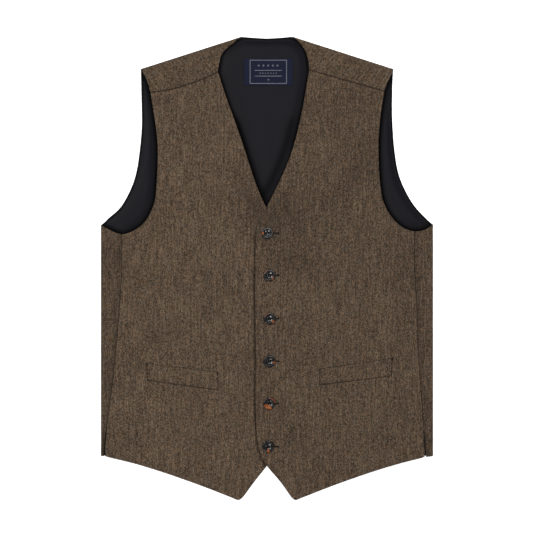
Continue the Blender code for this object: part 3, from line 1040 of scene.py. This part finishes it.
def horn(name, spots):
    """Polished horn, near black with amber where light gets through."""
    n = Nodes(name)
    spot = n.solid()
    cloud = n.noise(n.scaled(spot, 0.22, 0.22, 0.5), detail=3.0, distortion=0.6)
    grain = n.noise(n.scaled(spot, 0.5, 1.9, 1.0), detail=3.0)
    body = n.mix(n.step(grain, 0.3, 0.75), shown(8, 7, 7), shown(26, 20, 18))
    radius = n.vector("LENGTH", n.scaled(spot, 1, 1, 0))["Value"]
    unit = n.vector("NORMALIZE", n.scaled(spot, 1, 1, 0))[0]
    for amber in spots:
        towards = n.vector("DOT_PRODUCT", unit, (*pointing(amber.heading), 0))["Value"]
        outside = n.step(radius, amber.near - AMBER_EDGE / 2, amber.near + AMBER_EDGE / 2)
        within = n.step(radius, amber.far + AMBER_EDGE / 2, amber.far - AMBER_EDGE / 2)
        dark, light = (cos(radians(amber.spread + turn)) for turn in (AMBER_TURN, -AMBER_TURN))
        sector = n.step(towards, dark, light)
        patch = n.times(sector, n.times(outside, within))
        patch = n.times(patch, n.step(cloud, 0.2, 0.55, 0.35, amber.strength))
        body = n.mix(patch, body, n.mix(cloud, shown(112, 50, 12), shown(184, 98, 34)))
    n.bump(grain, 0.015, 0.1 * MM)
    return n.finish(
        body, n.step(grain, 0.2, 0.8, 0.12, 0.16),
        Specular_IOR_Level=0.8,
    )


# The photo shows the left front and the back darker than the right front
# Lit and shaded copies of one tweed: the left front and the back are darkened as painted shade, and the
# right front is lit a little brighter
TWEED = tweed("tweed", 1.03)
TWEED_BACK_SHADED = tweed("tweed_back_shaded", 0.94)
TWEED_LEFT_SHADED = tweed("tweed_left_shaded", 0.945)
FRONT_TWEED = {1: TWEED_LEFT_SHADED, -1: TWEED}
SATIN = satin("lining_satin", shown(22, 21, 26), 0.004)
FACING = satin("front_underside", shown(22, 21, 26), 0.004)
WOVEN = woven("label_taffeta")
LABEL_THREAD = thread("label_thread", shown(150, 152, 160))
# The dark thread is real sewing, and also stands in for painted shade in the buttonholes' slits and along
# the welts' seams and mouths
DARK_THREAD_AND_SHADE = thread("dark_thread_and_shade", shown(18, 14, 12))
BROWN_THREAD = thread("brown_thread", shown(50, 41, 34))
LINING_THREAD = thread("lining_thread", shown(62, 60, 66))

# ---------------- panels


def declare(piece, slot, *nodes):
    """Puts a piece on the one body and hides the solids that it stands for. Its slot, the finish, is not
    used.
    """
    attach(piece, "root")
    if nodes:
        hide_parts(*nodes)
    return piece


def make_panels():
    back = shell(
        "back_cloth", BACK.outline, BACK_GRID, BACK_THICK, place_back, SATIN, TWEED_BACK_SHADED,
        EDGE_RINGS, back_shade, FOLD_BANDS,
    )
    lining = shell(
        "back_lining_cloth", LINING.outline, LINING_GRID, LINING_THICK, place_lining, SATIN, SATIN,
        EDGE_RINGS, lining_shade,
    )
    made = {
        "back": declare(back, "tweed", "back"),
        "back_lining": declare(lining, "lining", "back_lining"),
    }
    for side, cut in FRONTS.items():
        node = f"front_{SIDE_NAMES[side]}"
        front = shell(
            f"{node}_cloth", cut.outline, FRONT_GRID, FRONT_THICK, place_front(side),
            FRONT_TWEED[side], FACING, EDGE_RINGS, front_shade(side),
        )
        made[node] = declare(front, "tweed", node)
    return made


# ---------------- threads

# A short stitch from end to end: how far along it, how wide and how high, as shares
Ring = namedtuple("Ring", "along width height")
STITCH_RINGS = (
    Ring(-0.50, 0.25, -0.9),
    Ring(-0.36, 0.85, 0.0),
    Ring(0.0, 1.0, 0.4),
    Ring(0.36, 0.85, 0.0),
    Ring(0.50, 0.25, -0.9),
)
STITCH_SIDES = 6


def stitches(name, places, headings, length, radius, material):
    """Short stitches lying on a surface, as one mesh: where each is, and which way it points."""
    around = 2 * pi * np.arange(STITCH_SIDES) / STITCH_SIDES
    template = np.concatenate([
        np.stack([
            np.full(STITCH_SIDES, ring.along * length),
            radius * ring.width * np.cos(around),
            radius * (ring.height + ring.width * np.sin(around)),
        ], 1)
        for ring in STITCH_RINGS
    ])
    faces = [tuple(range(STITCH_SIDES))[::-1]]
    for k in range(len(STITCH_RINGS) - 1):
        first = k * STITCH_SIDES
        for i in range(STITCH_SIDES):
            j = (i + 1) % STITCH_SIDES
            faces.append((first + i, first + j, first + STITCH_SIDES + j, first + STITCH_SIDES + i))
    faces.append(tuple(range(len(template) - STITCH_SIDES, len(template))))
    verts, all_faces = [], []
    for place, heading in zip(places, headings):
        turn = np.array(((cos(heading), -sin(heading)), (sin(heading), cos(heading))))
        all_faces += [tuple(i + len(verts) * len(template) for i in f) for f in faces]
        verts.append(np.concatenate([template[:, :2] @ turn.T, template[:, 2:]], 1) + place)
    return mesh_object(name, np.concatenate(verts), all_faces, (material,))


def spaced(run, pitch):
    """Points at a pitch along a run, with the direction of the run at each."""
    steps = np.linalg.norm(np.diff(run, axis=0), axis=1)
    reached = np.concatenate([[0], np.cumsum(steps)])
    wanted = np.arange(pitch / 2, reached[-1], pitch)
    points, ahead, behind = (
        np.stack([np.interp(wanted + shift, reached, run[:, k]) for k in (0, 1)], 1)
        for shift in (0, pitch / 4, -pitch / 4)
    )
    along = ahead - behind
    return points, along / np.linalg.norm(along, axis=1)[:, None]


def line_of_stitches(name, run, inside_by, pitch, length, radius, level, material):
    """A line of stitches beside a run, on its left. level gives the surface's height."""
    points, along = spaced(run, pitch)
    points = points + np.stack([-along[:, 1], along[:, 0]], 1) * inside_by
    headings = np.arctan2(along[:, 1], along[:, 0])
    return stitches(name, lifted(points, level(points)), headings, length, radius, material)


def front_top(side):
    """The height of a front's upper surface, as a function of the place."""
    return lambda points: front_height(side, points) + FRONT_THICK / 2


def lining_top(points):
    return lining_height(points) + LINING_THICK / 2


PICK_PITCH, PICK_LENGTH, PICK_RADIUS = 4.6 * MM, 1.2 * MM, 0.17 * MM


def make_pick_stitches(side):
    """Hand pick stitches along the free edges of a front that show."""
    run = FRONTS[side].edges["lower"]
    if side < 0:
        x, y = run.T
        run = run[(y > LAP_CORNER_Y + 24 * MM) | (y < -300 * MM)]
        gap = int(np.argmax(np.linalg.norm(np.diff(run, axis=0), axis=1)))
        runs = (run[:gap + 1], run[gap + 1:])
    else:
        runs = (run,)
    level = front_top(side)
    return [
        line_of_stitches(
            f"pick_stitches_{SIDE_NAMES[side]}_{i + 1}", part, STITCH_LINE, PICK_PITCH, PICK_LENGTH,
            PICK_RADIUS, lambda p: level(p) - STITCH_FURROW, BROWN_THREAD,
        )
        for i, part in enumerate(runs)
    ]


# ---------------- buttons

BUTTON_NODES = [f"button_{i + 1}" for i in range(6)]
BUTTON_STEPS = 56

# A finer turned profile on the solid's: radius and height in millimetres, from the middle of the
# dish over the rim and under to the middle
Turned = namedtuple("Turned", "radius height")
BUTTON_PROFILE = (
    Turned(2.3, 2.12), Turned(3.1, 2.18), Turned(3.6, 2.37), Turned(4.3, 2.67), Turned(4.9, 2.93),
    Turned(5.2, 3.16), Turned(5.4, 3.35), Turned(5.6, 3.42), Turned(5.8, 3.43), Turned(7.7, 3.43),
    Turned(7.9, 3.42), Turned(8.15, 3.36),
    Turned(8.45, 3.16), Turned(8.75, 2.78), Turned(8.95, 2.2), Turned(8.9, 1.6), Turned(8.3, 0.85),
    Turned(7.2, 0.35), Turned(5.5, 0.05),
)
WELL_RADIUS = 5.5
WELL_SHIFT = 1.6
# The side, as a heading in degrees, on which each button's well slopes most gently
WELL_HEADINGS = (140, 55, 50, -25, -130, 60)
HOLE_RADIUS = 0.9 * MM
HOLE_REACH = 3.2 * MM / 2
THREAD_RADIUS = 0.34 * MM


def turned_disc(name, heading):
    """A disc turned from the button profile, closed above and below, with its well off centre."""
    angles = 2 * pi * np.arange(BUTTON_STEPS) / BUTTON_STEPS
    away = -pointing(heading)
    rings = []
    for k, p in enumerate(BUTTON_PROFILE):
        within = max(0.0, 1 - p.radius / WELL_RADIUS) if k < len(BUTTON_PROFILE) // 2 else 0.0
        shift = away * WELL_SHIFT * within
        x, y = np.cos(angles) * p.radius + shift[0], np.sin(angles) * p.radius + shift[1]
        rings.append(np.stack([x, y, np.full(BUTTON_STEPS, p.height)], 1))
    faces = [tuple(range(BUTTON_STEPS))]
    for k in range(len(rings) - 1):
        first, second = k * BUTTON_STEPS, (k + 1) * BUTTON_STEPS
        for i in range(BUTTON_STEPS):
            j = (i + 1) % BUTTON_STEPS
            faces.append((first + i, second + i, second + j, first + j))
    faces.append(tuple(range(second, second + BUTTON_STEPS))[::-1])
    return mesh_object(name, np.concatenate(rings) * MM, faces, ())


def drilled_button(heading):
    """The mesh of a button, with its four holes cut through."""
    disc = turned_disc("button_blank", heading)
    cutters = []
    for x in (-HOLE_REACH, HOLE_REACH):
        for y in (-HOLE_REACH, HOLE_REACH):
            bpy.ops.mesh.primitive_cylinder_add(
                vertices=BUTTON_STEPS // 2, radius=HOLE_RADIUS, depth=8 * MM, location=(x, y, 0)
            )
            cutter = bpy.context.object
            cut = disc.modifiers.new("Hole", "BOOLEAN")
            cut.operation = "DIFFERENCE"
            cut.object = cutter
            cutters.append(cutter)
    bpy.context.view_layer.update()
    evaluated = disc.evaluated_get(bpy.context.evaluated_depsgraph_get())
    mesh = bpy.data.meshes.new_from_object(evaluated)
    for obj in (disc, *cutters):
        bpy.data.objects.remove(obj, do_unlink=True)
    mesh.shade_smooth()
    mesh.set_sharp_from_angle(angle=radians(50))
    return mesh


def button_thread(name):
    """Two bars of thread across the middle of a button, down through its holes."""
    places, headings = [], []
    for x in (-HOLE_REACH, HOLE_REACH):
        for shift in (-0.3 * MM, 0.3 * MM):
            places.append((x + shift, 0, 2.1 * MM))
            headings.append(pi / 2)
    return stitches(name, places, headings, 2 * HOLE_REACH + 1.2 * MM, THREAD_RADIUS, DARK_THREAD_AND_SHADE)


def make_buttons():
    made = []
    for node, spots, heading in zip(BUTTON_NODES, AMBER, WELL_HEADINGS):
        middle = centre_of(node)
        place = np.array([(middle.x, middle.y)])
        height = float(front_top(1)(place)[0]) + GAP
        button = bpy.data.objects.new(f"{node}_horn", drilled_button(heading))
        button.data.materials.append(horn(f"{node}_horn", spots))
        button.location = (middle.x, middle.y, height)
        bpy.context.scene.collection.objects.link(button)
        declare(button, "horn", node)
        sewing = button_thread(f"{node}_thread")
        sewing.location = button.location
        declare(sewing, "tweed")
        made += [button, sewing]
    return made


# A buttonhole runs out from under its button, across the front, to a bar tack
HOLE_START = 2 * MM
HOLE_END = 15.6 * MM
PURL_PITCH, PURL_LENGTH, PURL_RADIUS = 0.55 * MM, 1.5 * MM, 0.24 * MM
SLIT_RADIUS = 0.26 * MM
TACK_THREADS, TACK_PITCH, TACK_LENGTH, TACK_RADIUS = 5, 0.5 * MM, 3.2 * MM, 0.62 * MM


def make_buttonhole(node):
    """A buttonhole: a slit between two rows of purl stitches, and the bar tack at its end."""
    low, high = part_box(node)
    x, y = (low.x + high.x) / 2 + HOLE_START, (low.y + high.y) / 2
    level = front_top(1)
    row = np.arange(x, HOLE_END, PURL_PITCH)
    places, headings = [], []
    for side in (-1, 1):
        for at in row:
            places.append((at, y + side * PURL_LENGTH / 2))
            headings.append(pi / 2)
    places = np.array(places)
    places = lifted(places, level(places))
    name = node.replace("button", "buttonhole")
    purl = stitches(f"{name}_purl", places, headings, PURL_LENGTH, PURL_RADIUS, BROWN_THREAD)
    # The slit is a near-black thread that stands in for painted shade in the cut between the purl rows
    middle = np.array([((x + HOLE_END) / 2, y)])
    middle = lifted(middle, level(middle))
    slit = stitches(f"{name}_slit", middle, [0.0], HOLE_END - x, SLIT_RADIUS, DARK_THREAD_AND_SHADE)
    tack = np.array([(HOLE_END + TACK_PITCH * (i + 0.5), y) for i in range(TACK_THREADS)])
    tack = lifted(tack, level(tack))
    bar = stitches(f"{name}_tack", tack, [pi / 2] * TACK_THREADS, TACK_LENGTH, TACK_RADIUS, DARK_THREAD_AND_SHADE)
    return [declare(piece, "tweed") for piece in (purl, slit, bar)]


# ---------------- welts and label

WELTS = {
    1: cut_of("welt_left", "top inner bottom outer"),
    -1: cut_of("welt_right", "outer bottom inner top"),
}
WELT_DIP, WELT_DIP_WIDTH, WELT_SETTLE = 0.8 * MM, 1.6 * MM, 0.15 * MM
WELT_RINGS = (1.0 * MM, 1.9 * MM, 2.8 * MM)


def welt_height(side, points):
    """The height of a welt's middle: it lies on the front and dips into its seam below."""
    rise = front_height(side, points) - FRONT_MID
    dip = WELT_DIP * bell(distance_to(points, WELTS[side].edges["bottom"]), WELT_DIP_WIDTH)
    return WELT_MID - WELT_SETTLE + rise - dip


# How far painted shade darkens a welt along each of its edges
WELT_SHADES = {"top": 0.30, "inner": 0.45, "bottom": 0.60, "outer": 0.45}
WELT_SHADE_WIDTH = 0.9


def welt_shade(side):
    """Painted shade darkens a welt along its edges, most of all along its seam."""
    def shade(points):
        lighter = np.ones(len(points))
        for edge, strength in WELT_SHADES.items():
            along = distance_to(points, WELTS[side].edges[edge])
            lighter *= 1 - strength * band(along, 0, WELT_SHADE_WIDTH)
        return 1 - lighter
    return shade


# The lines of near-black stitching on a welt, in millimetres, which also stand for painted shade along
# its seam, mouth and ends;
# the seam's lies on the front, the rest on top
WeltLine = namedtuple("WeltLine", "name edge inside_by pitch length radius")
WELT_LINES = (
    WeltLine("seam", "bottom", -0.5, 2.6, 2.0, 0.42),
    WeltLine("mouth", "top", 0.9, 3.0, 2.0, 0.30),
    WeltLine("inner", "inner", 1.0, 2.0, 1.6, 0.42),
    WeltLine("outer", "outer", 1.0, 2.0, 1.6, 0.42),
)


def make_welt(side):
    """A welt with the stitching along its seam, its ends and its mouth."""
    node = f"welt_{SIDE_NAMES[side]}"
    cut = WELTS[side]
    welt = shell(
        f"{node}_cloth", cut.outline, SMALL_GRID, WELT_THICK,
        lambda points: on_level(points, welt_height(side, points)), FRONT_TWEED[side], FACING,
        WELT_RINGS, welt_shade(side),
    )
    declare(welt, "tweed", node)
    top = lambda points: welt_height(side, points) + WELT_THICK / 2
    made = [
        line_of_stitches(
            f"{node}_{line.name}", cut.edges[line.edge], line.inside_by * MM, line.pitch * MM,
            line.length * MM, line.radius * MM, front_top(side) if line.name == "seam" else top,
            DARK_THREAD_AND_SHADE,
        )
        for line in WELT_LINES
    ]
    corners = [cut.edges["top"][0], cut.edges["top"][-1]]
    middle = cut.outline.mean(0)
    tacks = np.array([c + (middle - c) * 0.015 + (0, -k * 1.6 * MM) for c in corners for k in (0.6, 1.6)])
    tacks = lifted(tacks, top(tacks))
    made.append(stitches(f"{node}_tacks", tacks, [0.3] * len(tacks), 2.4 * MM, 0.95 * MM, DARK_THREAD_AND_SHADE))
    for piece in made:
        declare(piece, "tweed")
    return welt, made


LABEL = cut_of("label", "top left bottom right")

# The pale woven frame and rules of the label, in millimetres from its middle
Rule = namedtuple("Rule", "x y end_x end_y")
FRAME_RULES = (
    Rule(-27.0, -17.2, 27.6, -17.2), Rule(27.6, -17.2, 27.6, 17.6),
    Rule(27.6, 17.6, -27.0, 17.6), Rule(-27.0, 17.6, -27.0, -17.2),
    Rule(-20.0, 2.4, 20.8, 2.4), Rule(-20.0, -6.2, 20.8, -6.2),
)
RULE_PITCH, RULE_WIDTH, RULE_RADIUS = 0.42 * MM, 1.15 * MM, 0.26 * MM
MARK_RADIUS = 0.24 * MM

# Small lozenges stand where the label's words would be
Lozenge = namedtuple("Lozenge", "x y size")
LOZENGES = tuple(Lozenge(x, 9.6, 1.5) for x in range(-14, 17, 7)) + tuple(
    Lozenge(x, -1.9, 0.7) for x in range(-12, 14, 4)
) + (Lozenge(0.4, -11.6, 1.2),)


def label_height(points):
    return lining_height(points) - LINING_MID + LABEL_MID


def make_label():
    label = shell(
        "label_cloth", LABEL.outline, SMALL_GRID, LABEL_THICK,
        lambda points: on_level(points, label_height(points)), WOVEN, WOVEN, (1.2 * MM, 2.0 * MM),
    )
    declare(label, "label_cloth", "label")
    centre = np.array(LABEL_CENTRE.to_2d())
    top = lambda points: label_height(points) + LABEL_THICK / 2
    places, headings = [], []
    for rule in FRAME_RULES:
        run = np.array(((rule.x, rule.y), (rule.end_x, rule.end_y))) * MM + centre
        points, along = spaced(run, RULE_PITCH)
        places.append(points)
        headings += [atan2(a[1], a[0]) + pi / 2 for a in along]
    places = np.concatenate(places)
    places = lifted(places, top(places))
    rules = stitches("label_rules", places, headings, RULE_WIDTH, RULE_RADIUS, LABEL_THREAD)
    places, lengths = [], []
    for lozenge in LOZENGES:
        for k in range(-2, 3):
            places.append(np.array((lozenge.x + k * 0.42 * lozenge.size, lozenge.y)) * MM + centre)
            lengths.append((3 - abs(k)) / 3 * 3.0 * lozenge.size * MM)
    marks = []
    for i, length in enumerate(sorted(set(round(v, 6) for v in lengths))):
        chosen = np.array([p for p, v in zip(places, lengths) if round(v, 6) == length])
        marks.append(stitches(
            f"label_mark_{i + 1}", lifted(chosen, top(chosen)), [pi / 2] * len(chosen), length,
            MARK_RADIUS, LABEL_THREAD,
        ))
    sewing = line_of_stitches(
        "label_sewing", LABEL.outline, 1.0 * MM, 3.4 * MM, 1.3 * MM, 0.16 * MM, top, DARK_THREAD_AND_SHADE
    )
    made = [rules, *marks, sewing]
    for piece in made:
        declare(piece, "label_cloth")
    return label, made


FELL_PITCH, FELL_LENGTH, FELL_RADIUS = 3.6 * MM, 1.2 * MM, 0.17 * MM


def make_felling():
    """The hand stitches that hold the lining's rolled edge, round the neck and the armholes."""
    made = []
    for name in ("neck", "arm_left", "arm_right"):
        made.append(line_of_stitches(
            f"felling_{name}", LINING.edges[name], 3.9 * MM, FELL_PITCH, FELL_LENGTH, FELL_RADIUS,
            lambda p: lining_top(p) - STITCH_FURROW, LINING_THREAD,
        ))
        declare(made[-1], "lining")
    return made


# ---------------- stage, light and camera

CAMERA_PLACE = Vector((-0.00075, 0.0019, 4.0))
VIEW_HEIGHT = 0.801
SENSOR = 36.0


def make_camera():
    data = bpy.data.cameras.new("camera")
    data.sensor_width = SENSOR
    data.lens = SENSOR * CAMERA_PLACE.z / VIEW_HEIGHT
    data.clip_end = 100
    camera = bpy.data.objects.new("camera", data)
    camera.location = CAMERA_PLACE
    bpy.context.scene.collection.objects.link(camera)
    bpy.context.scene.camera = camera


# mirrored says whether glossy surfaces show the light: the key would grey the buttons' flanges
Softbox = namedtuple("Softbox", "name place size power mirrored")
SOFTBOXES = (
    Softbox("key", (1.2, 1.0, 2.1), 1.5, 42.0, False),
    Softbox("left", (-1.3, 0.7, 2.2), 1.3, 24.0, True),
    Softbox("low", (-0.8, -1.4, 2.3), 0.9, 19.0, True),
    Softbox("overhead", (0.15, 0.60, 3.0), 0.7, 13.0, True),
    Softbox("glint", (1.15, -1.15, 2.4), 0.6, 7.0, True),
)
WORLD_LIGHT = 0.16


def make_lights():
    for box in SOFTBOXES:
        data = bpy.data.lights.new(box.name, "AREA")
        data.shape = "SQUARE"
        data.size = box.size
        data.energy = box.power
        lamp = bpy.data.objects.new(box.name, data)
        lamp.location = box.place
        lamp.visible_camera = False
        lamp.visible_glossy = box.mirrored
        lamp.rotation_euler = (-Vector(box.place)).to_track_quat("-Z", "Y").to_euler()
        bpy.context.scene.collection.objects.link(lamp)
    world = bpy.data.worlds.new("studio")
    world.use_nodes = True
    background = world.node_tree.nodes["Background"]
    background.inputs["Color"].default_value = (1.0, 1.0, 1.0, 1.0)
    background.inputs["Strength"].default_value = WORLD_LIGHT
    bpy.context.scene.world = world
    bpy.context.scene.view_settings.view_transform = "Standard"


# The floor is a light table, lit a little from below, which keeps it white beside the cloth
TABLE_GLOW = 0.6
TABLE_REACH = 6.0
TABLE_DROP = 0.2 * MM


def make_floor():
    n = Nodes("paper")
    grain = n.noise(n.solid(), detail=2.0, scale=0.02)
    white = n.mix(grain, (0.93, 0.93, 0.93, 1), (0.95, 0.95, 0.95, 1))
    paper = n.finish(white, 0.9, Emission_Color=(1, 1, 1, 1), Emission_Strength=TABLE_GLOW)
    corners = np.array([(-1, -1, 0), (1, -1, 0), (1, 1, 0), (-1, 1, 0)]) * TABLE_REACH
    floor = mesh_object("floor", corners - (0, 0, TABLE_DROP), [(0, 1, 2, 3)], (paper,))
    return floor


floor = make_floor()
panels = make_panels()
make_lights()
make_camera()
buttons = make_buttons()
buttonholes = [piece for node in BUTTON_NODES for piece in make_buttonhole(node)]
picks = {side: [declare(p, "tweed") for p in make_pick_stitches(side)] for side in (1, -1)}
felling = make_felling()
welts = {side: make_welt(side) for side in (1, -1)}
label, label_sewing = make_label()
